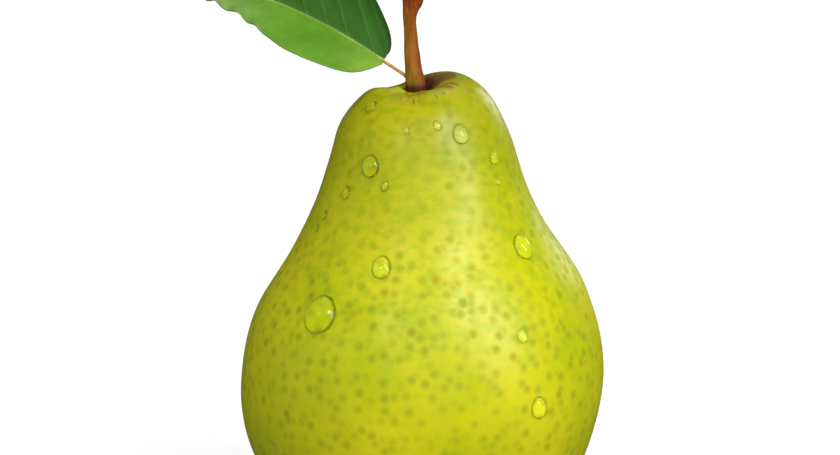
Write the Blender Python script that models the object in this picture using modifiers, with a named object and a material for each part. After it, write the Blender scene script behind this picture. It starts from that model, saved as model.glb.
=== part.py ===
"""A fresh pear standing on its base: the fruit, its woody stem, one leaf and the dried calyx underneath.

Metres, +Z up. The front of the fruit faces -Y and the leaf reaches out to -X.
The origin lies on the resting plane, under the middle of the whole object.
Run with: blender --background --python part.py
"""

import math

import bmesh
import bpy
from mathutils import Vector
from mathutils.geometry import interpolate_bezier

MM = 0.001  # every dimension below is in millimetres
MERGE = 0.00001  # merge distance for seams, in metres
GAP = 0.3  # clearance between two pieces
CLOSEST = 0.3  # points of an outline that lie closer than this are dropped

# Fruit: the section that is turned about the axis
BELLY_RADIUS = 36.3
BELLY_HEIGHT = 31.5
FLANK_RADIUS = 27.6  # where the flank slopes in the most, between belly and neck
FLANK_HEIGHT = 57.5
NECK_RADIUS = 18.4  # the slimmest stretch of the neck, under the crown
NECK_HEIGHT = 78.0
CROWN_RADIUS = 5.5  # rim of the dimple that holds the stem
CROWN_HEIGHT = 92.0
SOCKET_RADIUS = 2.9  # the narrow hollow that the stem grew out of
SOCKET_HEIGHT = 89.8
FOOT_OUTER = 13.5  # the flat ring that the fruit stands on
FOOT_INNER = 10.5
BASIN_RADIUS = 3.4  # floor of the basin that holds the calyx
BASIN_DEPTH = 5.2
FRUIT_STEPS = 52

# Fruit: how the grown shape departs from the turned one
BASE_LEAN = -0.95  # sideways wander of the axis, low in the belly
FLANK_LEAN = 1.05  # the same in the flank
CROWN_LEAN = -0.8  # the same at the crown
CROWN_TILT = 0.20  # rise of the crown towards the right, as a slope
TILT_REACH = 8.0  # beyond this far from the axis the rise levels off
SHOULDER_LIFT = 1.0  # extra height of the right rear shoulder
SHOULDER_PLACE = (6.0, 5.0)
SHOULDER_SPREAD = 4.0
OVAL_SWELL = 0.006  # how far the girth is from round: a two-sided and a three-sided swelling
LOBED_SWELL = 0.005

# Stem
STEM_PLACE = Vector((-1.7, -0.6))  # it stands to the left of the fruit's axis and to the front
STEM_LENGTH = 25.0
STEM_RADIUS = 1.6
STEM_SWAY = 1.25  # it first leans to the left by this much and then comes back
STEM_RETURN = 1.5
STEM_BACK = 1.2
STEM_RINGS = 18

# Leaf
LEAF_BASE = Vector((-7.9, 1.6, 96.1))  # where the stalk meets the blade
LEAF_LENGTH = 54.0
LEAF_HALF_WIDTH = 15.5
LEAF_THICKNESS = 0.45
LEAF_RISE = 0.58  # slope of the midrib at its base
LEAF_ARCH = 0.0050  # how much the slope drops along it, per millimetre
FRONT_FALL = 22.0  # degrees below level of the front half
REAR_CLIMB = 75.0  # degrees above level of the rear half
REAR_CUP = 0.006  # inward curl of the rear half
FRONT_SWEEP = -0.02  # how far each half reaches towards the tip as it widens
REAR_SWEEP = 0.45
STALK_RADIUS = 0.45
STALK_SHARE = 0.14  # how far up the stem the stalk leaves it

# Calyx
CALYX_RADIUS = 4.8
CALYX_THICKNESS = 0.5
CALYX_DROOP = 2.0  # how far the sepals hang at their tips
SEPALS = 5

COLORS = {
    "fruit": ((0.59, 0.62, 0.05), 0.40),
    "stem": ((0.23, 0.09, 0.02), 0.70),
    "leaf": ((0.08, 0.22, 0.03), 0.50),
    "calyx": ((0.07, 0.04, 0.02), 0.85),
}


def clear_scene():
    for item in list(bpy.data.objects):
        bpy.data.objects.remove(item)


def new_collection(name):
    group = bpy.data.collections.new(name)
    bpy.context.scene.collection.children.link(group)
    return group


def make_material(name):
    color, roughness = COLORS[name]
    material = bpy.data.materials.new(name)
    material.use_nodes = True
    shader = material.node_tree.nodes["Principled BSDF"]
    shader.inputs["Base Color"].default_value = (*color, 1.0)
    shader.inputs["Roughness"].default_value = roughness
    shader.inputs["Metallic"].default_value = 0.0
    return material


def ease(low, high, value):
    """Goes smoothly from 0 at low to 1 at high."""
    share = min(max((value - low) / (high - low), 0.0), 1.0)
    return share * share * (3.0 - 2.0 * share)


def bump(centre, spread, value):
    """A smooth hump of height 1 round a centre."""
    return math.exp(-(((value - centre) / spread) ** 2))


def bend(start, start_pull, end, end_pull, steps):
    """Points of one Bezier stretch between two knots, given how far each knot pulls along its tangent."""
    start, end = Vector(start), Vector(end)
    return interpolate_bezier(start, start + Vector(start_pull), end - Vector(end_pull), end, steps)


def applied(item, name, group):
    """Replaces an object with one that holds its evaluated shape, with the loose seams merged."""
    bpy.context.view_layer.update()
    evaluated = item.evaluated_get(bpy.context.evaluated_depsgraph_get())
    mesh = bpy.data.meshes.new_from_object(evaluated)
    shape = bmesh.new()
    shape.from_mesh(mesh)
    bmesh.ops.remove_doubles(shape, verts=shape.verts, dist=MERGE)
    shape.to_mesh(mesh)
    shape.free()
    solid = bpy.data.objects.new(name, mesh)
    solid.matrix_world = item.matrix_world
    group.objects.link(solid)
    bpy.data.objects.remove(item)
    return solid


def turned(name, outline, steps, group):
    """Turns an outline of (radius, height) points, which runs down its outer side, about the Z axis."""
    mesh = bpy.data.meshes.new(name)
    points = [(radius * MM, 0.0, height * MM) for radius, height in outline]
    mesh.from_pydata(points, [(i, i + 1) for i in range(len(points) - 1)], [])
    profile = bpy.data.objects.new(name + "_profile", mesh)
    group.objects.link(profile)
    screw = profile.modifiers.new("Screw", "SCREW")
    screw.steps = steps
    screw.render_steps = steps
    screw.use_merge_vertices = True
    screw.merge_threshold = MERGE
    return applied(profile, name, group)


def tube(name, path, radii, sides, group):
    """A round bar along a path, with a radius at each point, as one closed mesh."""
    curve = bpy.data.curves.new(name, "CURVE")
    curve.dimensions = "3D"
    curve.bevel_depth = MM
    curve.bevel_resolution = sides
    curve.use_fill_caps = True
    spline = curve.splines.new("POLY")
    spline.points.add(len(path) - 1)
    for target, point, radius in zip(spline.points, path, radii):
        target.co = (*(point * MM), 1.0)
        target.radius = radius
    bar = bpy.data.objects.new(name + "_curve", curve)
    group.objects.link(bar)
    return applied(bar, name, group)


def thickened(item, thickness, offset):
    """Gives an open sheet its thickness."""
    solidify = item.modifiers.new("Thickness", "SOLIDIFY")
    solidify.thickness = thickness * MM
    solidify.offset = offset


def fruit_outline():
    """The fruit's section, from the floor of the stem socket round the outside to the floor of the basin."""
    lip = (SOCKET_RADIUS + 0.3, SOCKET_HEIGHT + 1.3)
    rim = (CROWN_RADIUS, CROWN_HEIGHT)
    neck = (NECK_RADIUS, NECK_HEIGHT)
    flank = (FLANK_RADIUS, FLANK_HEIGHT)
    belly = (BELLY_RADIUS, BELLY_HEIGHT)
    foot = (FOOT_OUTER, 0.0)
    hollow = (FOOT_INNER, 0.0)
    basin = (BASIN_RADIUS, BASIN_DEPTH)
    stretches = [
        bend(lip, (0.2, 0.8), rim, (1.6, 0.0), 4),
        bend(rim, (8.3, 0.0), neck, (1.7, -6.3), 9),
        bend(neck, (2.1, -7.6), flank, (4.8, -7.1), 8),
        bend(flank, (5.3, -7.8), belly, (0.0, -10.5), 9),
        bend(belly, (0.0, -14.2), foot, (-13.0, 0.0), 13),
        bend(hollow, (-3.0, 0.0), basin, (-1.2, 0.0), 7),
    ]
    outline = [Vector((SOCKET_RADIUS * share, SOCKET_HEIGHT)) for share in (0.0, 0.5, 1.0)]
    for stretch in stretches:
        outline += [point for point in stretch if (point - outline[-1]).length > CLOSEST]
    outline.append(Vector((0.0, BASIN_DEPTH)))
    return outline


def grown(point):
    """Moves a point of the turned fruit to where it lies on the grown one. The foot ring stays flat."""
    x, y, z = point / MM
    turn = math.atan2(y, x)
    radius = math.hypot(x, y)
    above_foot = ease(0.0, 14.0, z)
    swell = OVAL_SWELL * math.cos(2.0 * turn + 0.9) + LOBED_SWELL * math.cos(3.0 * turn - 1.3)
    x += x * above_foot * swell
    y += y * above_foot * swell

    top = ease(80.0, 91.0, z)
    outside_socket = ease(SOCKET_RADIUS, 2.0 * SOCKET_RADIUS, radius)
    tilt = CROWN_TILT * TILT_REACH * math.tanh(x / TILT_REACH)
    right, rear = SHOULDER_PLACE
    shoulder = SHOULDER_LIFT * bump(right, SHOULDER_SPREAD * math.sqrt(2.0), x)
    shoulder *= bump(rear, SHOULDER_SPREAD * math.sqrt(2.0), y)
    z += top * outside_socket * (tilt + shoulder)

    x += above_foot * BASE_LEAN * bump(20.0, 11.0, z)
    x += FLANK_LEAN * bump(55.0, 6.5, z)
    x += CROWN_LEAN * ease(78.0, 88.0, z)
    near_stem = 1.0 - ease(2.0, 14.0, radius)
    x += top * near_stem * (STEM_PLACE.x - CROWN_LEAN)
    y += top * near_stem * STEM_PLACE.y
    return Vector((x, y, z)) * MM


def make_fruit(group):
    fruit = turned("fruit", fruit_outline(), FRUIT_STEPS, group)
    for vertex in fruit.data.vertices:
        vertex.co = grown(vertex.co)
    return fruit


def stem_centre(share):
    """Centre of the stem at a share of its length."""
    foot = Vector((STEM_PLACE.x, STEM_PLACE.y, SOCKET_HEIGHT + GAP))
    sway = STEM_RETURN * ease(0.55, 1.0, share) - STEM_SWAY * math.sin(math.pi * 0.62 * share)
    return foot + Vector((sway, STEM_BACK * share, STEM_LENGTH * share))


def stem_radius(share):
    """The stem flares a little in its socket, slims above the middle and thickens to the broken end."""
    flare = 0.45 * (1.0 - ease(0.0, 0.22, share))
    waist = -0.25 * bump(0.55, 0.14, share)
    knob = 0.95 * ease(0.60, 0.88, share) - 0.35 * ease(0.93, 1.0, share)
    return STEM_RADIUS + flare + waist + knob


def make_stem(group):
    shares = [i / STEM_RINGS for i in range(STEM_RINGS + 1)]
    path = [stem_centre(share) for share in shares]
    radii = [stem_radius(share) for share in shares]
    return tube("stem", path, radii, 3, group)


def midrib(share):
    """Centre of the midrib at a share of the blade's length: it rises to the left and arches over."""
    along = LEAF_LENGTH * share
    rise = LEAF_RISE * along - LEAF_ARCH * along * along
    return LEAF_BASE + Vector((-0.86 * along, 0.10 * along, rise))


def half_width(share):
    """Half the blade's width at a share of its length: an egg shape that narrows to the tip."""
    body = math.sin(math.pi * share ** 0.62) ** 0.84
    return STALK_RADIUS * (1.0 - share) + LEAF_HALF_WIDTH * body * (1.0 - 0.18 * ease(0.7, 1.0, share))


def blade_point(share, across):
    """A point of the blade. across runs from -1 at the front margin over the midrib to 1 at the rear one."""
    ahead = (midrib(share + 0.01) - midrib(share - 0.01)).normalized()
    reach = abs(across) * half_width(share)
    if across < 0.0:
        angle = math.radians(-FRONT_FALL)
        side = Vector((0.0, -math.cos(angle), math.sin(angle)))
        sweep = reach * (FRONT_SWEEP + 0.35 * math.exp(-share / 0.08))
        cup = 0.0
    else:
        angle = math.radians(REAR_CLIMB)
        side = Vector((0.0, math.cos(angle), math.sin(angle)))
        sweep = reach * (REAR_SWEEP - 0.75 * math.exp(-share / 0.03))
        cup = REAR_CUP * reach * reach
    side = (side - ahead * side.dot(ahead)).normalized()
    return midrib(share) + side * reach + ahead * sweep - ahead.cross(side) * cup


def make_blade(group):
    """A flat grid bent into the folded blade, then given its thickness."""
    shape = bmesh.new()
    bmesh.ops.create_grid(shape, x_segments=24, y_segments=8, size=1.0)
    for vertex in shape.verts:
        share = 0.5 + 0.496 * vertex.co.x
        vertex.co = blade_point(share, vertex.co.y) * MM
    mesh = bpy.data.meshes.new("leaf")
    shape.to_mesh(mesh)
    shape.free()
    sheet = bpy.data.objects.new("leaf_sheet", mesh)
    group.objects.link(sheet)
    thickened(sheet, LEAF_THICKNESS, 0.0)
    return applied(sheet, "leaf", group)


def make_leaf(group, cutters):
    """The blade joined with its stalk, which runs on as the midrib under the blade."""
    leaf = make_blade(group)
    clear = stem_radius(STALK_SHARE) + GAP + 0.6 * STALK_RADIUS
    joint = stem_centre(STALK_SHARE) + Vector((-clear, 0.4, 0.0))
    base = midrib(0.0)
    pull = Vector((-1.8, 0.0, 1.2))
    stalk = interpolate_bezier(joint, joint + pull, base - pull, base, 6)
    ribs = range(1, 11)
    below = Vector((0.0, 0.12, 0.28))
    path = list(stalk) + [midrib(i / 12.0) - below for i in ribs]
    radii = [STALK_RADIUS] * len(stalk) + [STALK_RADIUS * (1.0 - 0.06 * i) for i in ribs]
    bar = tube("leaf_stalk", path, radii, 1, cutters)
    bar.hide_render = True
    bar.display_type = "WIRE"
    union = leaf.modifiers.new("Stalk", "BOOLEAN")
    union.operation = "UNION"
    union.object = bar
    return leaf


def make_calyx(group):
    """Five dried sepals round a small disc, spread under the floor of the basin."""
    roof = BASIN_DEPTH - GAP - CALYX_THICKNESS
    rings = 7
    star = turned("calyx", [(CALYX_RADIUS * i / rings, roof) for i in range(rings + 1)], 8 * SEPALS, group)
    for vertex in star.data.vertices:
        x, y, z = vertex.co / MM
        share = math.hypot(x, y) / CALYX_RADIUS
        lobe = math.cos(SEPALS * math.atan2(y, x))
        reach = 1.0 + share * (0.28 * lobe - 0.30)
        droop = CALYX_DROOP * share * share + 0.25 * share * lobe
        vertex.co = Vector((x * reach, y * reach, z - droop)) * MM
    thickened(star, CALYX_THICKNESS, 1.0)
    return star


def centre_over_origin(pieces, root):
    """Shifts the pieces sideways, so the middle of the whole object's box stands over the origin."""
    bpy.context.view_layer.update()
    depsgraph = bpy.context.evaluated_depsgraph_get()
    corners = []
    for piece in pieces:
        evaluated = piece.evaluated_get(depsgraph)
        corners += [evaluated.matrix_world @ vertex.co for vertex in evaluated.data.vertices]
    for axis in range(2):
        values = [corner[axis] for corner in corners]
        root.location[axis] = -(min(values) + max(values)) / 2.0


def main():
    clear_scene()
    group = new_collection("pear")
    cutters = new_collection("cutters")
    pieces = [make_fruit(group), make_stem(group), make_leaf(group, cutters), make_calyx(group)]
    root = bpy.data.objects.new("pear_root", None)
    group.objects.link(root)
    for piece in pieces:
        piece.data.materials.clear()
        piece.data.materials.append(make_material(piece.name))
        piece.data.shade_smooth()
    centre_over_origin(pieces, root)
    for piece in pieces + list(cutters.objects):
        piece.parent = root


main()
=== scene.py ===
# A fresh pear with its stalk, one leaf and dew on the skin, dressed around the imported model.
# Metres, +Z up. The front faces -Y and the leaf reaches out to -X.
import math
import random

import bmesh
import bpy
from mathutils import Matrix, Vector, noise
from mathutils.bvhtree import BVHTree
from mathutils.geometry import interpolate_bezier


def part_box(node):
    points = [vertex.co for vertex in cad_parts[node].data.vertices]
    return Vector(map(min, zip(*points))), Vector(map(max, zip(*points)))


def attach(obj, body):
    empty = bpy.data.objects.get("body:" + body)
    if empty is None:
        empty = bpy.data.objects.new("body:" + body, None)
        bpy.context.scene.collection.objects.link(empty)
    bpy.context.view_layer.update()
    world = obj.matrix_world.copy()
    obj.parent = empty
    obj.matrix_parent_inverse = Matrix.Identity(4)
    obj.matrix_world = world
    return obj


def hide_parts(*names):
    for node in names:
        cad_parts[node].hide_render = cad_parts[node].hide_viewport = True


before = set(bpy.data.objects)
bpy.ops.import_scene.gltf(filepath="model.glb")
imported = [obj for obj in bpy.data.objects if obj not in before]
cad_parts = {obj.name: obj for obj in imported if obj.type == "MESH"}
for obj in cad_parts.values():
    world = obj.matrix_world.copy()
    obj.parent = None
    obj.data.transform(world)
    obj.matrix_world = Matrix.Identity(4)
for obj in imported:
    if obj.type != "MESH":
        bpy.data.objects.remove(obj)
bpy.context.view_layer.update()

mm = 0.001
fruitLow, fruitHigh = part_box("fruit")
stemLow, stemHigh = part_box("stem")
leafLow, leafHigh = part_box("leaf")
calyxLow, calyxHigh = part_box("calyx")
# the fruit leans a little, so its axis stands beside the middle of its box
fruitAxis = Vector(((fruitLow.x + fruitHigh.x) / 2 + 0.3 * mm, (fruitLow.y + fruitHigh.y) / 2, 0))
stemFoot = Vector((fruitAxis.x - 1.7 * mm, fruitAxis.y - 0.6 * mm, stemLow.z))


def tint(hexColor):
    # sRGB hex to the linear colour that shaders want
    parts = [int(hexColor[i:i + 2], 16) / 255 for i in (1, 3, 5)]
    return (*[p / 12.92 if p <= 0.04045 else ((p + 0.055) / 1.055) ** 2.4 for p in parts], 1.0)


def grey(value):
    return (value, value, value, 1.0)


def addNode(material, kind, settings=None, inputs=None):
    # one node, its settings, and what feeds or fills its inputs
    node = material.node_tree.nodes.new(kind)
    for name, value in (settings or {}).items():
        setattr(node, name, value)
    for name, value in (inputs or {}).items():
        if isinstance(value, bpy.types.NodeSocket):
            material.node_tree.links.new(value, node.inputs[name])
        else:
            node.inputs[name].default_value = value
    return node


def setStops(node, stops):
    # colour ramp stops as (place, colour)
    ramp = node.color_ramp
    while len(ramp.elements) < len(stops):
        ramp.elements.new(0.5)
    for element, (place, color) in zip(ramp.elements, stops):
        element.position = place
        element.color = color
    return node.outputs["Color"]


def newMaterial(name):
    material = bpy.data.materials.new(name)
    material.use_nodes = True
    material.node_tree.nodes.clear()
    shader = addNode(material, "ShaderNodeBsdfPrincipled")
    addNode(material, "ShaderNodeOutputMaterial", None, {"Surface": shader.outputs["BSDF"]})
    return material, shader


def feed(material, shader, inputs):
    # links what the nodes made into the shader
    for name, socket in inputs.items():
        material.node_tree.links.new(socket, shader.inputs[name])


def finishPiece(bm, name, material, replaced=()):
    mesh = bpy.data.meshes.new(name)
    bm.to_mesh(mesh)
    bm.free()
    mesh.materials.append(material)
    mesh.shade_smooth()
    piece = bpy.data.objects.new(name, mesh)
    bpy.context.scene.collection.objects.link(piece)
    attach(piece, "root")
    if replaced:
        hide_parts(*replaced)
    return piece


def cadCopy(node):
    # a merged copy of a CAD node, its triangles paired up again
    bm = bmesh.new()
    bm.from_mesh(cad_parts[node].data)
    bmesh.ops.remove_doubles(bm, verts=bm.verts, dist=1e-6)
    bmesh.ops.join_triangles(bm, faces=bm.faces, angle_face_threshold=0.7, angle_shape_threshold=1.2)
    return bm


def evaluated(bm, kind, **settings):
    # the bmesh after one modifier
    mesh = bpy.data.meshes.new("work")
    bm.to_mesh(mesh)
    bm.free()
    work = bpy.data.objects.new("work", mesh)
    bpy.context.scene.collection.objects.link(work)
    modifier = work.modifiers.new("work", kind)
    for name, value in settings.items():
        setattr(modifier, name, value)
    bpy.context.view_layer.update()
    shape = bpy.data.meshes.new_from_object(work.evaluated_get(bpy.context.evaluated_depsgraph_get()))
    out = bmesh.new()
    out.from_mesh(shape)
    bpy.data.objects.remove(work)
    bpy.data.meshes.remove(shape)
    bpy.data.meshes.remove(mesh)
    return out


def turnOutward(bm):
    # normals are stale after points have moved, and have to be renewed before the faces are turned
    bm.normal_update()
    bmesh.ops.recalc_face_normals(bm, faces=bm.faces)


def addPart(bm, part):
    # moves a finished part into a larger bmesh
    mesh = bpy.data.meshes.new("work")
    part.to_mesh(mesh)
    part.free()
    bm.from_mesh(mesh)
    bpy.data.meshes.remove(mesh)


def tube(bm, sides, rings, capRings, place):
    # a closed bar: place(share, turn, core) says where each of its points goes, core is 1 on its side
    bar = bmesh.new()
    bmesh.ops.create_cone(bar, cap_ends=True, segments=sides, radius1=1, radius2=1, depth=1)
    caps = [f for f in bar.faces if len(f.verts) == sides]
    upright = [e for e in bar.edges if abs(e.verts[0].co.z - e.verts[1].co.z) > 0.5]
    bmesh.ops.subdivide_edges(bar, edges=upright, cuts=rings)
    for cap in caps:
        for _ in range(capRings):
            bmesh.ops.inset_region(bar, faces=[cap], thickness=0.9 / capRings, use_even_offset=True)
    for vert in bar.verts:
        x, y, z = vert.co
        vert.co = place(min(max(z + 0.5, 0), 1), math.atan2(y, x), min(math.hypot(x, y), 1))
    turnOutward(bar)
    addPart(bm, bar)


def ease(low, high, value):
    share = min(max((value - low) / (high - low), 0), 1)
    return share * share * (3 - 2 * share)


def bump(centre, spread, value):
    return math.exp(-(((value - centre) / spread) ** 2))


def ripple(place, size, seed=0.0):
    # smooth noise with features of about the given size, from -1 to 1
    return noise.noise(Vector(place) / size + Vector((seed, seed * 0.7, -seed)))


studio = {
    "elevation": 12.0,            # degrees that the camera looks down
    "distance": 0.60,
    "frameWidth": 0.1666,         # width of the view at the fruit
    "aimHeight": 0.063,
    "aimSide": -0.0008,
    "floor": "#8A8A88",
    "floorGlow": 0.82,            # the sheet is lit from below, as on a light table
    "world": (0.23, 0.03),        # what matt and what glossy surfaces get from all round
    # azimuth from the front to the right, elevation, angle across in degrees, strength, shows in gloss
    "lamps": {
        "keyLow": (54, 23, 22, 0.98, True),
        "keyHigh": (40, 45, 22, 1.46, True),
        "front": (0, 34, 60, 1.22, False),
        "spark": (-32, 42, 10, 0.26, True),
        "left": (-75, 4, 60, 0.54, False),
        "rim": (150, 13, 19, 0.32, True),
        "top": (178, 54, 34, 0.28, True),
    },
}


def aroundFruit(azimuth, elevation, distance):
    # a place as seen from the fruit: azimuth 0 is the front and 90 the right
    a = math.radians(azimuth)
    e = math.radians(elevation)
    return Vector((math.sin(a) * math.cos(e), -math.cos(a) * math.cos(e), math.sin(e))) * distance


def makeCamera():
    aim = fruitAxis + Vector((studio["aimSide"], 0, studio["aimHeight"]))
    camera = bpy.data.objects.new("camera", bpy.data.cameras.new("camera"))
    camera.data.lens = camera.data.sensor_width * studio["distance"] / studio["frameWidth"]
    camera.data.clip_start = 0.01
    camera.location = aim + aroundFruit(0, studio["elevation"], studio["distance"])
    camera.rotation_euler = (aim - camera.location).to_track_quat("-Z", "Y").to_euler()
    bpy.context.scene.collection.objects.link(camera)
    bpy.context.scene.camera = camera


def makeLights():
    # wide far lamps, so that the light is soft and the same all over the floor
    for name, (azimuth, elevation, across, strength, shows) in studio["lamps"].items():
        light = bpy.data.lights.new(name, "SUN")
        light.angle = math.radians(across)
        light.energy = strength
        lamp = bpy.data.objects.new(name, light)
        lamp.visible_glossy = shows
        lamp.rotation_euler = aroundFruit(azimuth, elevation, 1).to_track_quat("Z", "Y").to_euler()
        bpy.context.scene.collection.objects.link(lamp)
    world = bpy.data.worlds.new("studio")
    world.use_nodes = True
    background = world.node_tree.nodes["Background"]
    background.inputs["Color"].default_value = grey(1)
    matt, glossy = studio["world"]
    mirrored = addNode(world, "ShaderNodeLightPath").outputs["Is Glossy Ray"]
    strength = addNode(world, "ShaderNodeMapRange", None,
                       {"Value": mirrored, "To Min": matt, "To Max": glossy})
    feed(world, background, {"Strength": strength.outputs["Result"]})
    bpy.context.scene.world = world
    bpy.context.scene.view_settings.view_transform = "Standard"


def floorMaterial():
    # opal acrylic, cast and matt: the light table under it lifts it to an even white
    material, shader = newMaterial("opalAcrylicSheet")
    coords = addNode(material, "ShaderNodeTexCoord").outputs["Object"]
    cloud = addNode(material, "ShaderNodeTexNoise", None, {"Vector": coords, "Scale": 4.0})
    rough = addNode(material, "ShaderNodeMapRange", None,
                    {"Value": cloud.outputs["Fac"], "To Min": 0.55, "To Max": 0.65})
    feed(material, shader, {"Roughness": rough.outputs["Result"]})
    shader.inputs["Base Color"].default_value = tint(studio["floor"])
    # the glow only reaches the eye, so that the fruit's underside keeps its shade
    seen = addNode(material, "ShaderNodeLightPath").outputs["Is Camera Ray"]
    glow = addNode(material, "ShaderNodeMath", {"operation": "MULTIPLY"}, {0: seen, 1: studio["floorGlow"]})
    shader.inputs["Emission Color"].default_value = grey(1)
    feed(material, shader, {"Emission Strength": glow.outputs["Value"]})
    return material


def makeFloor():
    bm = bmesh.new()
    bmesh.ops.create_grid(bm, x_segments=1, y_segments=1, size=4.0)
    bmesh.ops.translate(bm, verts=bm.verts, vec=(0, 0, -0.05 * mm))
    mesh = bpy.data.meshes.new("floor")
    bm.to_mesh(mesh)
    bm.free()
    mesh.materials.append(floorMaterial())
    floor = bpy.data.objects.new("floor", mesh)
    bpy.context.scene.collection.objects.link(floor)
    floor.visible_glossy = False


makeCamera()
makeLights()
makeFloor()
print("studio ready")


fruit = {
    "levels": 2,
    "lump": (0.30, 17.0),         # height and size in mm of the slow swellings
    "dent": (0.06, 5.0),          # the same for small unevenness
    "fold": (0.35, 4.6, 2.0),     # height, and where and how wide in mm from the stem the folds lie
    "lip": 0.9,                   # mm that the rim of the dimple dips at the front
    "trough": 0.8,                # mm that it dips from the stem to the right
    "fill": 0.9,                  # mm that the dimple is shallower on the left
    "brow": 0.35,                 # mm that its rim there is lower in front
    "rearDip": (1.2, 0.3),        # mm that it is lower behind, near the stem and farther out
    "shoulder": 1.0,              # mm that the crown is fuller to the left of it
    "worn": 14,                   # rounds of smoothing that take the edge off the left rim
    "ground": "#C6C60A",
    "ripe": "#D0CC12",
    "green": "#B6BE04",
    # what the skin's own colour is multiplied by
    "pore": (0.67, 0.71, 0.0),
    "oldPore": (0.70, 0.55, 0.10),      # a few pores that have gone corky
    "blotch": (0.84, 0.94, 0.10),
    "poreSpacing": 2.4,           # mm
    "poreRadius": 1.50,
    "russet": "#8A4A06",
    "sunkRim": "#6E5C04",         # olive, then brown down into the dimple: russet darkened by painted shade towards the stem
    "dimpleRussetShade": "#5E4206",
    "deepShade": "#3E1604",
    "roughness": (0.30, 0.42),
    "specular": 0.44,
}


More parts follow.
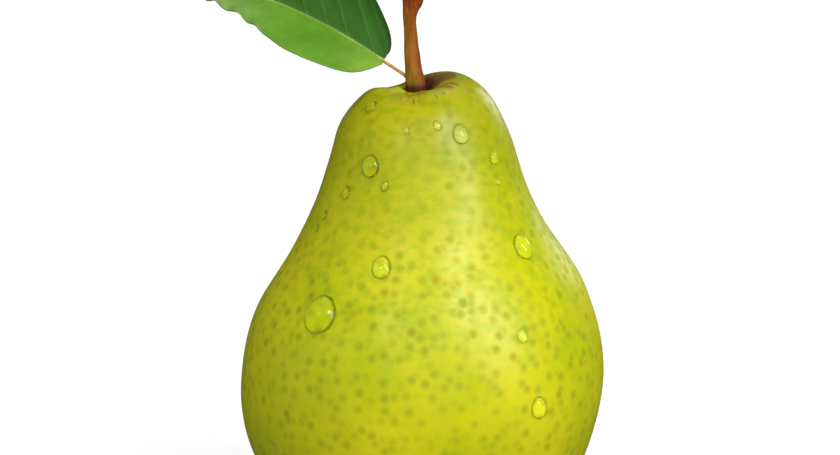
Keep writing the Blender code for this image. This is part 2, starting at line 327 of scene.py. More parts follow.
def skinMaterial():
    # pear skin under its own wax: soft gloss, pores that show as green dots, russet at the stem
    material, shader = newMaterial("waxyPearSkin")
    coords = addNode(material, "ShaderNodeTexCoord").outputs["Object"]
    height = addNode(material, "ShaderNodeSeparateXYZ", None, {"Vector": coords}).outputs["Z"]
    # ripening patches 18 mm across
    patch = addNode(material, "ShaderNodeTexNoise", None,
                    {"Vector": coords, "Scale": 1 / (18 * mm), "Detail": 3.0})
    ground = setStops(addNode(material, "ShaderNodeValToRGB", None, {"Fac": patch.outputs["Fac"]}),
                      [(0.34, tint(fruit["green"])), (0.50, tint(fruit["ground"])),
                       (0.66, tint(fruit["ripe"]))])
    # darker at the foot as painted shade where less light reaches, and a deeper tone from the neck to the
    # crown
    level = addNode(material, "ShaderNodeMapRange", None,
                    {"Value": height, "From Min": fruitLow.z, "From Max": fruitHigh.z})
    depth = setStops(addNode(material, "ShaderNodeValToRGB", None, {"Fac": level.outputs["Result"]}),
                     [(0.0, grey(0.84)), (0.20, grey(0.93)), (0.40, grey(1.0)), (0.62, grey(0.97)),
                      (0.80, grey(0.87)), (0.93, grey(0.68)), (1.0, grey(0.61))])
    toneAndFootShade = addNode(material, "ShaderNodeMix", {"data_type": "RGBA", "blend_type": "MULTIPLY"},
                     {0: 1.0, 6: ground, 7: depth})
    # cloudy blotches of the neck, 2 to 4 mm long and drawn out round the fruit
    wide = addNode(material, "ShaderNodeMapping", None, {"Vector": coords, "Scale": (0.6, 0.6, 1.0)})
    cloud = addNode(material, "ShaderNodeTexNoise", None,
                    {"Vector": wide.outputs["Vector"], "Scale": 1 / (1.5 * mm), "Detail": 1.0})
    cloudMask = addNode(material, "ShaderNodeMapRange", {"interpolation_type": "SMOOTHSTEP"},
                        {"Value": cloud.outputs["Fac"], "From Min": 0.46, "From Max": 0.62})
    upper = addNode(material, "ShaderNodeMapRange", {"interpolation_type": "SMOOTHSTEP"},
                    {"Value": height, "From Min": 36 * mm, "From Max": 56 * mm,
                     "To Min": 0.30, "To Max": 1.0})
    cloudShare = addNode(material, "ShaderNodeMath", {"operation": "MULTIPLY"},
                         {0: cloudMask.outputs["Result"], 1: upper.outputs["Result"]})
    blotched = addNode(material, "ShaderNodeMix", {"data_type": "RGBA", "blend_type": "MULTIPLY"},
                       {0: cloudShare.outputs["Value"], 6: toneAndFootShade.outputs[2], 7: (*fruit["blotch"], 1.0)})
    # pores: the round heart of each cell, most of them green and a few brown
    cells = addNode(material, "ShaderNodeTexVoronoi", None,
                    {"Vector": coords, "Scale": 1 / (fruit["poreSpacing"] * mm), "Randomness": 0.85})
    edge = fruit["poreRadius"] / fruit["poreSpacing"]
    pore = addNode(material, "ShaderNodeMapRange", {"interpolation_type": "SMOOTHSTEP"},
                   {"Value": cells.outputs["Distance"], "From Min": edge * 0.1, "From Max": edge,
                    "To Min": 1.0, "To Max": 0.0})
    pick = addNode(material, "ShaderNodeSeparateColor", None, {"Color": cells.outputs["Color"]})
    strength = addNode(material, "ShaderNodeMapRange", None,
                       {"Value": pick.outputs["Red"], "To Min": 0.45, "To Max": 1.15})
    poreShare = addNode(material, "ShaderNodeMath", {"operation": "MULTIPLY", "use_clamp": True},
                        {0: pore.outputs["Result"], 1: strength.outputs["Result"]})
    # fainter up the neck
    fading = addNode(material, "ShaderNodeMapRange", None,
                     {"Value": height, "From Min": 52 * mm, "From Max": 72 * mm,
                      "To Min": 1.0, "To Max": 0.6})
    poreMask = addNode(material, "ShaderNodeMath", {"operation": "MULTIPLY"},
                       {0: poreShare.outputs["Value"], 1: fading.outputs["Result"]})
    poreColor = setStops(addNode(material, "ShaderNodeValToRGB", None, {"Fac": pick.outputs["Green"]}),
                         [(0.0, (*fruit["pore"], 1.0)), (0.92, (*fruit["pore"], 1.0)),
                          (0.95, (*fruit["oldPore"], 1.0))])
    dotted = addNode(material, "ShaderNodeMix", {"data_type": "RGBA", "blend_type": "MULTIPLY"},
                     {0: poreMask.outputs["Value"], 6: blotched.outputs[2], 7: poreColor})
    # russet: threads that run out from the stem, and a brown dimple round it, russet with painted shade
    # that darkens down into the hollow
    away = addNode(material, "ShaderNodeVectorMath", {"operation": "SUBTRACT"}, {0: coords, 1: stemFoot})
    flat = addNode(material, "ShaderNodeVectorMath", {"operation": "MULTIPLY"},
                   {0: away.outputs["Vector"], 1: (1, 1, 0)}).outputs["Vector"]
    spoke = addNode(material, "ShaderNodeVectorMath", {"operation": "NORMALIZE"}, {0: flat})
    spread = addNode(material, "ShaderNodeVectorMath", {"operation": "MULTIPLY_ADD"},
                     {0: away.outputs["Vector"], 1: (30, 30, 30), 2: spoke.outputs["Vector"]})
    threads = addNode(material, "ShaderNodeTexNoise", {"noise_dimensions": "4D"},
                      {"Vector": spread.outputs["Vector"], "W": 1.7, "Scale": 6.5, "Detail": 3.0})
    russetPart = addNode(material, "ShaderNodeAttribute", {"attribute_name": "russet"}).outputs["Fac"]
    ragged = addNode(material, "ShaderNodeMath", {"operation": "MULTIPLY_ADD"},
                     {0: russetPart, 1: 0.60, 2: threads.outputs["Fac"]})
    threadMask = addNode(material, "ShaderNodeMapRange", {"interpolation_type": "SMOOTHSTEP"},
                         {"Value": ragged.outputs["Value"], "From Min": 0.91, "From Max": 1.03,
                          "To Max": 0.85})
    russet = addNode(material, "ShaderNodeMix", {"data_type": "RGBA"},
                     {0: threadMask.outputs["Result"], 6: dotted.outputs[2], 7: tint(fruit["russet"])})
    # the dimple's colour: olive rim, russet brown, then painted shade darkest at the stem
    dimpleRussetShade = addNode(material, "ShaderNodeAttribute", {"attribute_name": "dimpleRussetShade"}).outputs["Fac"]
    depthInside = addNode(material, "ShaderNodeMath", {"operation": "MULTIPLY_ADD"},
                          {0: threads.outputs["Fac"], 1: 0.35, 2: dimpleRussetShade}).outputs["Value"]
    inside = setStops(addNode(material, "ShaderNodeValToRGB", None, {"Fac": depthInside}),
                      [(0.50, tint(fruit["sunkRim"])), (0.82, tint(fruit["dimpleRussetShade"])),
                       (1.0, tint(fruit["deepShade"]))])
    dimple = addNode(material, "ShaderNodeMapRange", {"interpolation_type": "SMOOTHSTEP"},
                     {"Value": depthInside, "From Min": 0.30, "From Max": 0.58})
    skin = addNode(material, "ShaderNodeMix", {"data_type": "RGBA"},
                   {0: dimple.outputs["Result"], 6: russet.outputs[2], 7: inside})
    # fine unevenness of the wax, 0.9 mm, and pores that sink a little
    peel = addNode(material, "ShaderNodeTexNoise", None,
                   {"Vector": coords, "Scale": 1 / (0.9 * mm), "Detail": 3.0, "Roughness": 0.55})
    relief = addNode(material, "ShaderNodeMath", {"operation": "MULTIPLY_ADD"},
                     {0: poreMask.outputs["Value"], 1: -0.6, 2: peel.outputs["Fac"]})
    bumps = addNode(material, "ShaderNodeBump", None,
                    {"Height": relief.outputs["Value"], "Strength": 0.35, "Distance": 0.08 * mm})
    # the wax is rubbed shiny in patches 7 mm across and dull on the pores and in the dimple
    rubbed = addNode(material, "ShaderNodeTexNoise", None,
                     {"Vector": coords, "Scale": 1 / (7 * mm), "Detail": 3.0})
    shiny, dull = fruit["roughness"]
    gloss = addNode(material, "ShaderNodeMapRange", None,
                    {"Value": rubbed.outputs["Fac"], "From Min": 0.35, "From Max": 0.65,
                     "To Min": shiny, "To Max": dull})
    matt = addNode(material, "ShaderNodeMath", {"operation": "MAXIMUM"},
                   {0: dimple.outputs["Result"], 1: poreMask.outputs["Value"]})
    rough = addNode(material, "ShaderNodeMath", {"operation": "MULTIPLY_ADD", "use_clamp": True},
                    {0: matt.outputs["Value"], 1: 0.3, 2: gloss.outputs["Result"]})
    feed(material, shader, {"Base Color": skin.outputs[2], "Normal": bumps.outputs["Normal"],
                            "Roughness": rough.outputs["Value"]})
    shader.inputs["IOR"].default_value = 1.42
    shader.inputs["Specular IOR Level"].default_value = fruit["specular"]
    shader.inputs["Subsurface Weight"].default_value = 0.10
    shader.inputs["Subsurface Radius"].default_value = (1.0, 0.9, 0.2)
    shader.inputs["Subsurface Scale"].default_value = 2.5 * mm
    return material


def crownDrop(out, reach, spoke, left):
    # how far in mm the skin is let down round the stem, out and reach being mm from the stem's foot
    front = ease(0.0, 0.9, -spoke.y) * (1 - 0.6 * left)
    drop = fruit["lip"] * front * bump(4.5, 3.2, reach)
    trough = bump(1.0, 2.6, out.y) * ease(-1, 2, out.x) * (1 - ease(4, 11, out.x))
    drop += fruit["trough"] * trough * ease(2.2, 3.4, reach)
    # on the left the dimple is shallower, its rim lower and the crown beside it fuller
    behind = ease(-2.5, 1.5, out.y)
    drop -= fruit["fill"] * left * (1 - behind) * bump(2.4, 1.4, reach)
    drop += fruit["brow"] * left * (1 - behind) * bump(4.6, 1.8, reach)
    nearDip, farDip = fruit["rearDip"]
    drop += nearDip * left * behind * bump(4.2, 3.6, reach)
    shoulder = ease(1.5, 7.5, -out.x) * (1 - ease(8, 14, -out.x)) * bump(0, 5.0, out.y)
    drop -= fruit["shoulder"] * shoulder
    drop += farDip * ease(-1, 4, -out.x) * ease(1, 5, out.y) * bump(8.5, 4.5, reach)
    return drop


def crownRussetAndShade(out, reach, spoke, left):
    # how brown the dimple is, russet with painted shade deepening into the hollow and on its wall to the
    # right, and how far the russet threads spread
    ring = (1 - ease(2.6, 4.2, reach)) * (1 - 0.7 * left)
    wall = bump(2.6, 3.0, out.y) * ease(-0.5, 1.5, out.x) * (1 - ease(6, 11, out.x))
    wall *= 0.56 + 0.4 * (1 - ease(1.5, 5.5, out.x))
    dimpleRussetShade = max(ring, wall) * ease(-6, -2, out.z)
    limit = 6.5 + 3.5 * ease(0, 0.9, -spoke.y)
    streaked = 0.68 * (1 - ease(limit, limit + 3.5, reach)) + 0.32 * (1 - ease(2.5, 4.5, reach))
    return dimpleRussetShade, streaked * (1 - 0.25 * left)


def makeFruit():
    bm = evaluated(cadCopy("fruit"), "SUBSURF", levels=fruit["levels"], render_levels=fruit["levels"])
    crown = [f for f in bm.faces if f.calc_center_median().z > stemFoot.z - 5 * mm]
    edges = list(dict.fromkeys(e for f in crown for e in f.edges))
    bmesh.ops.subdivide_edges(bm, edges=edges, cuts=1, use_grid_fill=True)
    bm.normal_update()
    russetShadeLayer = bm.verts.layers.float.new("dimpleRussetShade")
    russetLayer = bm.verts.layers.float.new("russet")
    lumpHeight, lumpSize = fruit["lump"]
    dentHeight, dentSize = fruit["dent"]
    foldHeight, foldPlace, foldSpread = fruit["fold"]
    worn = []
    for vert in bm.verts:
        place = vert.co.copy()
        fade = ease(1 * mm, 9 * mm, place.z)     # the foot ring stays flat
        lift = lumpHeight * ripple(place, lumpSize * mm, 3.1)
        lift += dentHeight * ripple(place, dentSize * mm, 8.4)
        out = (place - stemFoot) / mm
        reach = math.hypot(out.x, out.y)
        drop = 0
        if out.z > -8 and reach > 0.1:
            spoke = Vector((out.x, out.y, 0)).normalized()
            left = ease(0.3, 4.0, -out.x)
            folds = ripple(spoke * 1.7 + out * 0.06, 1, 4.6)
            lift += foldHeight * folds * bump(foldPlace, foldSpread, reach)
            drop = crownDrop(out, reach, spoke, left)
            vert[russetShadeLayer], vert[russetLayer] = crownRussetAndShade(out, reach, spoke, left)
        vert.co = place + vert.normal * (lift * fade * mm) - Vector((0, 0, drop * mm))
        if out.z > -6 and 1.6 < reach < 8 and out.x < 0.5:
            worn.append(vert)
    for _ in range(fruit["worn"]):
        bmesh.ops.smooth_vert(bm, verts=worn, factor=0.5, use_axis_z=True)
    bm.normal_update()
    tree = BVHTree.FromBMesh(bm)
    finishPiece(bm, "pear_fruit", skinMaterial(), ["fruit"])
    return tree


skinTree = makeFruit()
print("fruit ready")


stem = {
    "sides": 72,
    "rings": 190,
    "capRings": 8,
    "flutes": (0.12, 4),          # depth in mm and number of the long grooves
    "bark": (0.05, 0.7),          # height and size in mm of the roughness
    # share of the length, side in degrees from +X, height in mm and spread of each swelling
    "knots": [(0.10, -35, 0.45, 0.16), (0.71, 20, 0.38, 0.06),
              (0.82, 250, 0.30, 0.05), (0.90, 90, 0.30, 0.06)],
    "foot": "#8E6C08",
    "middle": "#9A5C08",
    "top": "#8C440E",
    "knob": "#5E280C",
    # pale of the worn streaks, which also serve as painted highlight
    "wornSheen": "#C08234",
    "fleck": "#30170A",
    "ridge": "#803A08",
    # painted shade for the stem's foot where it stands in the dimple
    "deepShade": "#3E1A06",
}


def stemMaterial():
    # woody stalk under thin bark: dry fibres, golden at the foot and red-brown to the broken end
    material, shader = newMaterial("pearStalkBark")
    coords = addNode(material, "ShaderNodeTexCoord").outputs["Object"]
    height = addNode(material, "ShaderNodeSeparateXYZ", None, {"Vector": coords}).outputs["Z"]
    level = addNode(material, "ShaderNodeMapRange", None,
                    {"Value": height, "From Min": stemLow.z, "From Max": stemHigh.z, "To Max": 0.8})
    wander = addNode(material, "ShaderNodeTexNoise", None,
                     {"Vector": coords, "Scale": 1 / (3 * mm), "Detail": 2.0})
    drift = addNode(material, "ShaderNodeMath", {"operation": "MULTIPLY_ADD"},
                    {0: wander.outputs["Fac"], 1: 0.30, 2: level.outputs["Result"]})
    ground = setStops(addNode(material, "ShaderNodeValToRGB", None, {"Fac": drift.outputs["Value"]}),
                      [(0.20, tint(stem["foot"])), (0.48, tint(stem["middle"])),
                       (0.72, tint(stem["top"])), (0.95, tint(stem["knob"]))])
    # fibres 0.4 mm wide, drawn out along the stem
    drawn = addNode(material, "ShaderNodeMapping", None, {"Vector": coords, "Scale": (1.0, 1.0, 0.10)})
    fibre = addNode(material, "ShaderNodeTexNoise", None,
                    {"Vector": drawn.outputs["Vector"], "Scale": 1 / (0.4 * mm), "Detail": 5.0})
    fibreShade = addNode(material, "ShaderNodeMapRange", None,
                         {"Value": fibre.outputs["Fac"], "From Min": 0.3, "From Max": 0.7,
                          "To Min": 0.70, "To Max": 1.22})
    streaked = addNode(material, "ShaderNodeVectorMath", {"operation": "SCALE"},
                       {0: ground, "Scale": fibreShade.outputs["Result"]})
    # pale streaks 1 mm wide: worn bark, and painted highlight streaks along the stem
    worn = addNode(material, "ShaderNodeMapping", None, {"Vector": coords, "Scale": (1.0, 1.0, 0.16)})
    streak = addNode(material, "ShaderNodeTexNoise", None,
                     {"Vector": worn.outputs["Vector"], "Scale": 1 / (1.1 * mm), "Detail": 2.0})
    wornSheenMask = addNode(material, "ShaderNodeMapRange", {"interpolation_type": "SMOOTHSTEP"},
                         {"Value": streak.outputs["Fac"], "From Min": 0.52, "From Max": 0.70,
                          "To Min": 0.0, "To Max": 0.35})
    paler = addNode(material, "ShaderNodeMix", {"data_type": "RGBA"},
                    {0: wornSheenMask.outputs["Result"], 6: streaked.outputs["Vector"], 7: tint(stem["wornSheen"])})
    # small dark corky flecks, 1.2 mm apart
    fleck = addNode(material, "ShaderNodeTexVoronoi", None, {"Vector": coords, "Scale": 1 / (1.2 * mm)})
    fleckMask = addNode(material, "ShaderNodeMapRange", {"interpolation_type": "SMOOTHSTEP"},
                        {"Value": fleck.outputs["Distance"], "From Min": 0.08, "From Max": 0.26,
                         "To Min": 0.25, "To Max": 0.0})
    flecked = addNode(material, "ShaderNodeMix", {"data_type": "RGBA"},
                      {0: fleckMask.outputs["Result"], 6: paler.outputs[2], 7: tint(stem["fleck"])})
    # red-brown along the ridge at its foot, and painted shade on the stem's foot down in the dimple
    ridge = addNode(material, "ShaderNodeAttribute", {"attribute_name": "ridge"}).outputs["Fac"]
    ridged = addNode(material, "ShaderNodeMix", {"data_type": "RGBA"},
                     {0: ridge, 6: flecked.outputs[2], 7: tint(stem["ridge"])})
    deepShade = addNode(material, "ShaderNodeMapRange", {"interpolation_type": "SMOOTHSTEP"},
                   {"Value": height, "From Min": stemLow.z + 1.4 * mm, "From Max": stemLow.z + 2.7 * mm,
                    "To Min": 0.9, "To Max": 0.0})
    bark = addNode(material, "ShaderNodeMix", {"data_type": "RGBA"},
                   {0: deepShade.outputs["Result"], 6: ridged.outputs[2], 7: tint(stem["deepShade"])})
    relief = addNode(material, "ShaderNodeBump", None,
                     {"Height": fibre.outputs["Fac"], "Strength": 0.5, "Distance": 0.12 * mm})
    rough = addNode(material, "ShaderNodeMapRange", None,
                    {"Value": fibre.outputs["Fac"], "To Min": 0.42, "To Max": 0.66})
    feed(material, shader, {"Base Color": bark.outputs[2], "Normal": relief.outputs["Normal"],
                            "Roughness": rough.outputs["Result"]})
    shader.inputs["Specular IOR Level"].default_value = 0.25
    return material


def stemRings():
    # centre and radius of each ring of the CAD stem, from its foot up
    bm = cadCopy("stem")
    places = sorted((v.co.copy() for v in bm.verts), key=lambda p: p.z)
    bm.free()
    sides = 10
    rings = []
    for i in range(0, len(places) - sides + 1, sides):
        ring = places[i:i + sides]
        centre = sum(ring, Vector()) / sides
        rings.append((centre, sum((p - centre).length for p in ring) / sides))
    return rings


def alongStem(rings, share):
    # smooth centre, direction and radius at a share of the stem's length
    last = len(rings) - 1
    i = min(int(share * last), last - 1)
    t = share * last - i
    a, b, c, d = [rings[max(min(i + k, last), 0)][0] for k in (-1, 0, 1, 2)]
    centre = ((2 * b) + (c - a) * t + (2 * a - 5 * b + 4 * c - d) * t * t
              + (3 * b - a - 3 * c + d) * t ** 3) / 2
    radius = rings[i][1] * (1 - t) + rings[i + 1][1] * t
    return centre, (c - b).normalized(), radius


def makeStem():
    rings = stemRings()
    fluteDepth, fluteCount = stem["flutes"]
    barkHeight, barkSize = stem["bark"]

    def place(share, turn, core):
        centre, ahead, radius = alongStem(rings, share)
        side = (Vector((1, 0, 0)) - ahead * ahead.x).normalized()
        spoke = side * math.cos(turn) + ahead.cross(side) * math.sin(turn)
        spot = centre + spoke * radius
        winding = fluteCount * turn + 2.4 * share + 2 * ripple(spot, 6 * mm, 2.2)
        lift = -fluteDepth * (0.5 + 0.5 * math.cos(winding))
        lift += barkHeight * ripple((spot.x, spot.y, spot.z * 0.3), barkSize * mm, 5.0)
        lift += 0.14 * ripple(spot, 3 * mm, 9.0)
        for height, degrees, size, spread in stem["knots"]:
            facing = max(math.cos(turn - math.radians(degrees)), 0) ** 2
            lift += size * bump(height, spread, share) * facing
        spot = centre + spoke * (radius + lift * mm) * core
        # the end is torn off at a slant and splintered
        slant = ease(0.92, 1.0, share) * (spot - centre).dot(Vector((0.8, -0.6, 0)))
        spot += ahead * (slant - abs(slant)) * 0.35
        if share > 0.999:
            tear = 0.40 * ripple(spot, 0.9 * mm, 4.0) + 0.30 * ripple(spot, 0.4 * mm, 6.0)
            spot += ahead * (tear * (1 - 0.4 * core) - 0.45 * core ** 4) * mm
        return spot

    bm = bmesh.new()
    tube(bm, stem["sides"], stem["rings"], stem["capRings"], place)
    ridgeLayer = bm.verts.layers.float.new("ridge")
    for vert in bm.verts:
        share = (vert.co.z - stemLow.z) / (stemHigh.z - stemLow.z)
        centre, ahead, radius = alongStem(rings, min(max(share, 0), 1))
        out = (vert.co - centre).normalized()
        facing = ease(0.35, 0.95, out.dot(Vector((0.90, -0.43, 0))))
        vert[ridgeLayer] = 0.75 * facing * (1 - ease(0.30, 0.52, share))
    finishPiece(bm, "pear_stem", stemMaterial(), ["stem"])
    return rings


stemPath = makeStem()
print("stem ready")


leaf = {
    "length": 54.0,               # mm, along the midrib
    "halfWidth": 15.5,
    "thickness": 0.30,
    "segments": (300, 72),        # along and across
    "veins": 9,                   # side veins in each half
    "veinReach": 0.15,            # how far a vein climbs towards the tip on its way to the margin
    "groove": 0.08,               # mm that a vein lies below the blade
    "quilt": 0.07,                # mm that the blade swells between veins
    "wave": (0.7, 4.8),           # height and length in mm of the margin's waves
    "tooth": (0.22, 1.3),         # depth and spacing in mm of the teeth
    "scallop": 0.9,               # mm that the waved margin is cut in
    "frontFold": -22,             # degrees that each half is folded up from level
    "rearFold": 75,
    # one upper surface in two tones: the front half painted as lit, with a painted highlight at its base,
    # the rear half painted in shade
    "base": "#7CA238",
    "front": "#5A8C20",
    "litFrontTip": "#74954E",
    "rear": "#2C6006",
    "rearEdge": "#1F4C03",
    "under": "#86A660",
    "vein": "#7FA63A",
    "midrib": "#A4B04A",
    "stalk": "#D2A55C",
    "stalkRadius": 0.33,          # mm
}
leafBase = Vector((leafHigh.x - 3.8 * mm, leafLow.y + 13.2 * mm, leafLow.z + 2.8 * mm))


def midrib(share):
    # centre of the midrib: it rises to the left and arches over
    along = leaf["length"] * share
    return leafBase + Vector((-0.86 * along, 0.10 * along, 0.58 * along - 0.005 * along * along)) * mm


def halfWidth(share):
    body = math.sin(math.pi * share ** 0.62) ** 0.84
    return 0.45 * (1 - share) + leaf["halfWidth"] * body * (1 - 0.18 * ease(0.7, 1, share))


def bladePoint(share, across):
    # across runs from -1 at the front margin over the midrib to 1 at the rear one
    ahead = (midrib(share + 0.01) - midrib(share - 0.01)).normalized()
    reach = abs(across) * halfWidth(share)
    if across < 0:
        # slimmer towards the tip than the rear half
        reach *= 0.97 - 0.55 * math.exp(-share / 0.04) - 0.21 * ease(0.36, 0.60, share)
        angle = math.radians(leaf["frontFold"])
        side = Vector((0, -math.cos(angle), math.sin(angle)))
        sweep = -0.15 * reach
        cup = 0
    else:
        angle = math.radians(leaf["rearFold"])
        side = Vector((0, math.cos(angle), math.sin(angle)))
        sweep = reach * (0.45 + 0.24 * math.exp(-share / 0.15) - 0.80 * math.exp(-share / 0.03))
        cup = 0.006 * reach * reach
    side = (side - ahead * side.dot(ahead)).normalized()
    return midrib(share) + (side * reach + ahead * sweep - ahead.cross(side) * cup) * mm


def leafMaterial():
    # young pear leaf: thin cuticle over soft tissue, a dull shine on top and a paler, matt underside
    material, shader = newMaterial("pearLeafCuticle")
    coords = addNode(material, "ShaderNodeTexCoord").outputs["Object"]
    share = addNode(material, "ShaderNodeAttribute", {"attribute_name": "along"}).outputs["Fac"]
    across = addNode(material, "ShaderNodeAttribute", {"attribute_name": "across"}).outputs["Fac"]
    veins = addNode(material, "ShaderNodeAttribute", {"attribute_name": "vein"}).outputs["Fac"]
    rib = addNode(material, "ShaderNodeAttribute", {"attribute_name": "rib"}).outputs["Fac"]
    under = addNode(material, "ShaderNodeAttribute", {"attribute_name": "under"}).outputs["Fac"]
    # painted light and shade: the front half is painted lit, lightest at the base as a painted highlight,
    # and the rear half painted in shade, darker still to its margin
    front = setStops(addNode(material, "ShaderNodeValToRGB", None, {"Fac": share}),
                     [(0.0, tint(leaf["base"])), (0.20, tint(leaf["front"])), (0.42, tint(leaf["front"])),
                      (0.72, tint(leaf["litFrontTip"]))])
    rear = setStops(addNode(material, "ShaderNodeValToRGB", None, {"Fac": across}),
                    [(0.5, tint(leaf["rear"])), (0.85, tint(leaf["rear"])), (1.0, tint(leaf["rearEdge"]))])
    side = addNode(material, "ShaderNodeMapRange", {"interpolation_type": "SMOOTHSTEP"},
                   {"Value": across, "From Min": 0.495, "From Max": 0.505})
    ground = addNode(material, "ShaderNodeMix", {"data_type": "RGBA"},
                     {0: side.outputs["Result"], 6: front, 7: rear})
    # soft patches 6 mm across and a fine netting of small veins, 0.9 mm
    patch = addNode(material, "ShaderNodeTexNoise", None,
                    {"Vector": coords, "Scale": 1 / (6 * mm), "Detail": 3.0})
    net = addNode(material, "ShaderNodeTexVoronoi", {"feature": "DISTANCE_TO_EDGE"},
                  {"Vector": coords, "Scale": 1 / (0.9 * mm)})
    netShade = addNode(material, "ShaderNodeMapRange", None,
                       {"Value": net.outputs["Distance"], "From Min": 0.0, "From Max": 0.12,
                        "To Min": 1.10, "To Max": 1.0})
    patchShade = addNode(material, "ShaderNodeMapRange", None,
                         {"Value": patch.outputs["Fac"], "From Min": 0.3, "From Max": 0.7,
                          "To Min": 0.86, "To Max": 1.12})
    shade = addNode(material, "ShaderNodeMath", {"operation": "MULTIPLY"},
                    {0: netShade.outputs["Result"], 1: patchShade.outputs["Result"]})
    varied = addNode(material, "ShaderNodeVectorMath", {"operation": "SCALE"},
                     {0: ground.outputs[2], "Scale": shade.outputs["Value"]})
    veinShare = addNode(material, "ShaderNodeMath", {"operation": "MULTIPLY"}, {0: veins, 1: 0.08})
    veined = addNode(material, "ShaderNodeMix", {"data_type": "RGBA"},
                     {0: veinShare.outputs["Value"], 6: varied.outputs["Vector"], 7: tint(leaf["vein"])})
    below = addNode(material, "ShaderNodeMix", {"data_type": "RGBA"},
                    {0: under, 6: veined.outputs[2], 7: tint(leaf["under"])})
    ribbed = addNode(material, "ShaderNodeMix", {"data_type": "RGBA"},
                     {0: rib, 6: below.outputs[2], 7: tint(leaf["midrib"])})
    grain = addNode(material, "ShaderNodeTexNoise", None,
                    {"Vector": coords, "Scale": 1 / (0.5 * mm), "Detail": 3.0})
    relief = addNode(material, "ShaderNodeBump", None,
                     {"Height": grain.outputs["Fac"], "Strength": 0.25, "Distance": 0.08 * mm})
    rough = addNode(material, "ShaderNodeMapRange", None,
                    {"Value": grain.outputs["Fac"], "To Min": 0.42, "To Max": 0.60})
    feed(material, shader, {"Base Color": ribbed.outputs[2], "Normal": relief.outputs["Normal"],
                            "Roughness": rough.outputs["Result"]})
    shader.inputs["Specular IOR Level"].default_value = 0.28
    shader.inputs["Subsurface Weight"].default_value = 0.15
    shader.inputs["Subsurface Radius"].default_value = (0.5, 1.0, 0.2)
    shader.inputs["Subsurface Scale"].default_value = 0.6 * mm
    return material


def makeLeaf():
    bm = bmesh.new()
    along, across = leaf["segments"]
    bmesh.ops.create_grid(bm, x_segments=along, y_segments=across, size=1.0)
    layers = {name: bm.verts.layers.float.new(name) for name in ("along", "across", "vein", "rib", "under")}
    waveHeight, waveLength = leaf["wave"]
    toothDepth, toothSpacing = leaf["tooth"]
    for vert in bm.verts:
        # the grid is finer at both ends and at the midrib
        u = 0.5 + 0.5 * vert.co.x
        share = 0.003 + 0.994 * (0.4 * u + 0.6 * (0.5 - 0.5 * math.cos(math.pi * u)))
        v = math.copysign(abs(vert.co.y) ** 1.25, vert.co.y)
        spread = abs(v)
        place = bladePoint(share, v)
        normal = (bladePoint(share + 0.003, v) - bladePoint(share - 0.003, v)).cross(
            bladePoint(share, v + 0.01) - bladePoint(share, v - 0.01)).normalized()
        # veins: which one is nearest, and how near
        climb = leaf["veinReach"] * (0.75 * spread + 0.25 * spread ** 2)
        order = (share - climb) * leaf["veins"] / 0.86 + (0.5 if v > 0 else 0)
        order += 0.10 * math.sin(order * 2.1)
        near = bump(0, 0.045 + 0.03 * spread, abs(order - round(order)))
        near *= (1 - ease(0.80, 1.0, spread)) * ease(0.02, 0.08, share)
        lift = leaf["quilt"] * (0.5 - 0.5 * math.cos(2 * math.pi * order)) * ease(0.05, 0.35, spread)
        lift *= 1 - 0.6 * ease(0.85, 1.0, spread)
        lift -= leaf["groove"] * near + 0.15 * bump(0, 0.03, spread)
        lift += 0.25 * ripple(place, 9 * mm, 6.0)
        # the front margin is wavy towards the tip, the rear one nearly straight
        phase = share * leaf["length"] / waveLength + 0.35 * ripple(place, 8 * mm, 2.0)
        swing = math.sin(2 * math.pi * phase)
        wavy = ease(0.42, 0.60, share) if v < 0 else 0.25
        lift += waveHeight * wavy * swing * ease(0.45, 1.0, spread) ** 2 * (1 - ease(0.92, 1, share))
        # forward-pointing teeth, and scallops where the margin waves
        saw = (share * leaf["length"] / toothSpacing + 0.2 * ripple(place, 4 * mm, 1.0)) % 1
        cut = toothDepth * (1 - saw) * ease(0.93, 1.0, spread) * ease(0.06, 0.15, share)
        if v < 0:
            scallop = leaf["scallop"] * (0.5 + 0.5 * swing) * wavy * ease(0.5, 1.0, spread)
            cut = 0.4 * cut + scallop * (1 - 0.7 * ease(0.75, 0.95, share))
        inward = midrib(share) - place
        if inward.length > 0:
            inward.normalize()
        vert.co = place + (normal * lift + inward * cut) * mm
        vert[layers["along"]] = share
        vert[layers["across"]] = 0.5 + 0.5 * v
        vert[layers["vein"]] = near
        vert[layers["rib"]] = bump(0, 0.010 + 0.012 * (1 - ease(0.0, 0.3, share)), spread)
    turnOutward(bm)
    if sum(face.normal.z for face in bm.faces) < 0:
        bmesh.ops.reverse_faces(bm, faces=bm.faces)
    # the underside is the same sheet again, let down by the thickness
    bm.normal_update()
    outward = bm.verts.layers.float_vector.new("outward")
    for vert in bm.verts:
        vert[outward] = vert.normal
    sheet = bmesh.ops.extrude_face_region(bm, geom=bm.faces[:], use_keep_orig=True)["geom"]
    for vert in [item for item in sheet if isinstance(item, bmesh.types.BMVert)]:
        vert.co -= vert[outward] * leaf["thickness"] * mm
        vert[layers["under"]] = 1.0
    bm.verts.layers.float_vector.remove(outward)
    turnOutward(bm)
    finishPiece(bm, "pear_leaf", leafMaterial(), ["leaf"])


def stalkMaterial():
    # the leaf's own stalk: smooth green bark that has turned tan, faintly ribbed along
    material, shader = newMaterial("pearLeafStalk")
    coords = addNode(material, "ShaderNodeTexCoord").outputs["Object"]
    drawn = addNode(material, "ShaderNodeMapping", None, {"Vector": coords, "Scale": (0.3, 1.0, 0.5)})
    grain = addNode(material, "ShaderNodeTexNoise", None,
                    {"Vector": drawn.outputs["Vector"], "Scale": 1 / (0.5 * mm), "Detail": 3.0})
    color = setStops(addNode(material, "ShaderNodeValToRGB", None, {"Fac": grain.outputs["Fac"]}),
                     [(0.30, tint("#B98C40")), (0.55, tint(leaf["stalk"])), (0.75, tint("#B9B060"))])
    rough = addNode(material, "ShaderNodeMapRange", None,
                    {"Value": grain.outputs["Fac"], "To Min": 0.40, "To Max": 0.55})
    feed(material, shader, {"Base Color": color, "Roughness": rough.outputs["Result"]})
    return material


